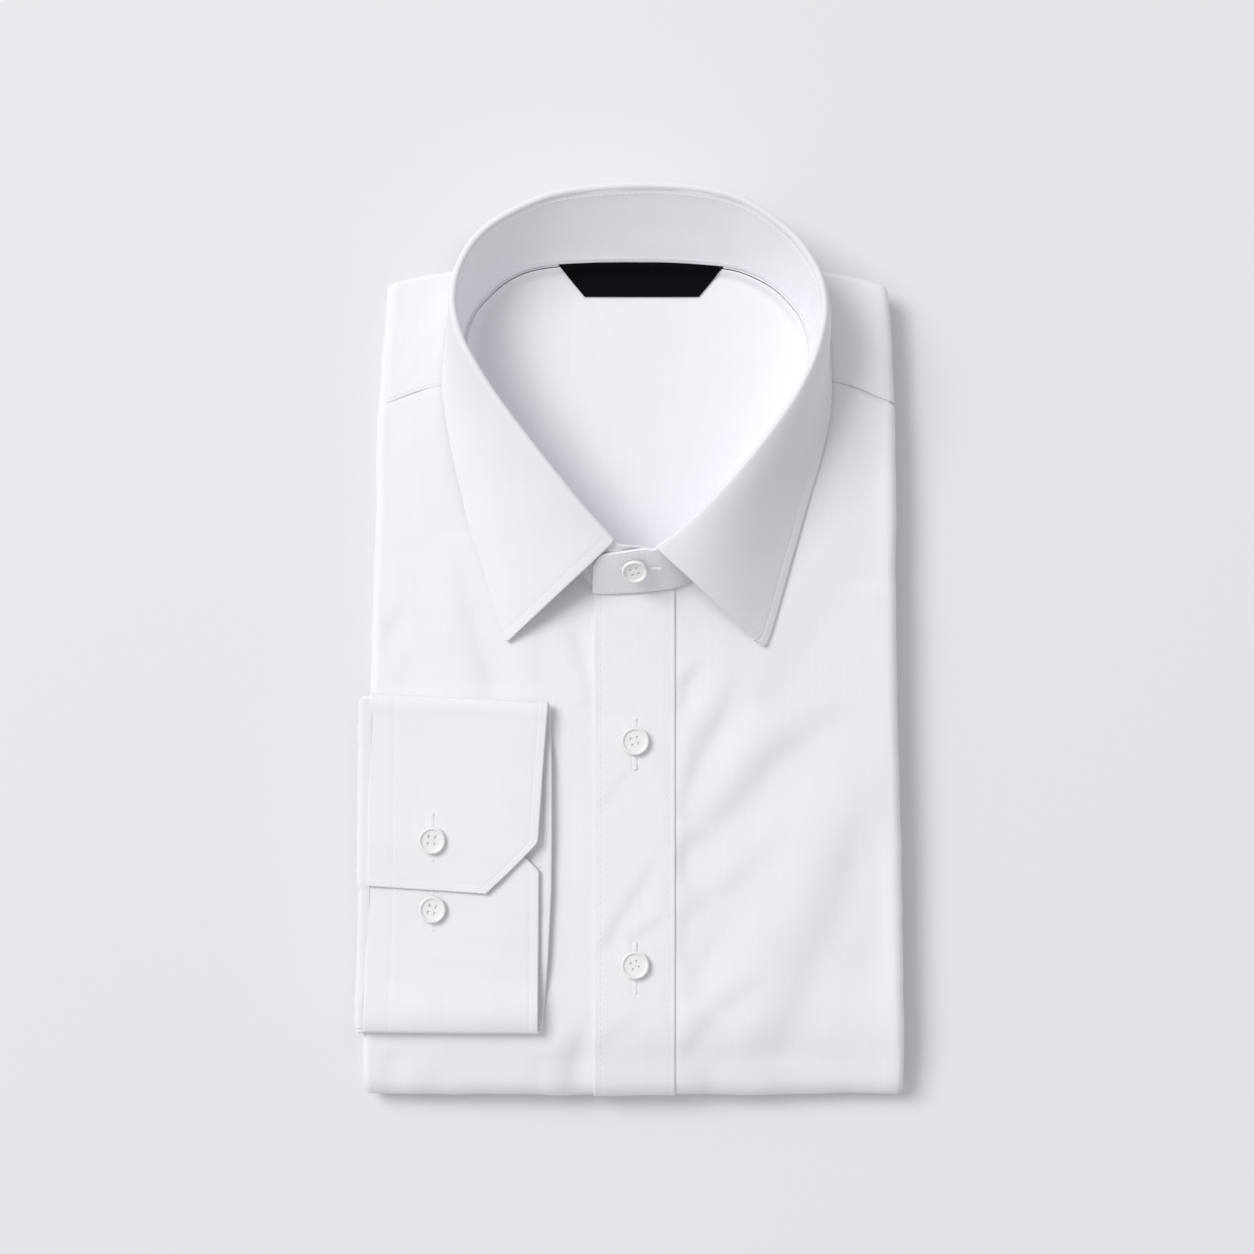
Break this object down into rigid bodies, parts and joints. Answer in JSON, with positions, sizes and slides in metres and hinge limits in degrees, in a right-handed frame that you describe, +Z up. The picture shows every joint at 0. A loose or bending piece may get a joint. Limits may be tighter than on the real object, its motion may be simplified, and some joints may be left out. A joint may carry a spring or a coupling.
{
  "type": "folded dress shirt",
  "caption": "White dress shirt folded flat for display, collar formed and standing open, placket buttoned, one buttoned cuff laid on the front.",
  "frame": {"origin": "middle of the flat underside, on the floor plane, below the placket's centre line", "axes": "+Y from the bottom fold to the collar, +Z up out of the front, +X to the wearer's left, which is the right seen from above"},
  "size_m": [0.2256, 0.3728, 0.0537],
  "materials": {
    "cotton": "fine plain-weave white cotton, pressed, matt",
    "stiff_cotton": "white cotton over a stiff interlining, matt",
    "pearl": "pearly white, polished, four holes",
    "black_satin": "black satin tab, bare"
  },
  "bodies": {
    "root": {"folded_layers": "cotton", "front_right": "cotton", "front_left": "cotton", "placket": "cotton", "yoke": "cotton", "yoke_facing": "cotton", "sleeve_right": "cotton", "collar_stand": "stiff_cotton", "collar_leaf": "stiff_cotton", "cuff": "stiff_cotton", "collar_button": "pearl", "front_button_1": "pearl", "front_button_2": "pearl", "cuff_button_1": "pearl", "cuff_button_2": "pearl", "neck_label": "black_satin"}
  },
  "joints": []
}
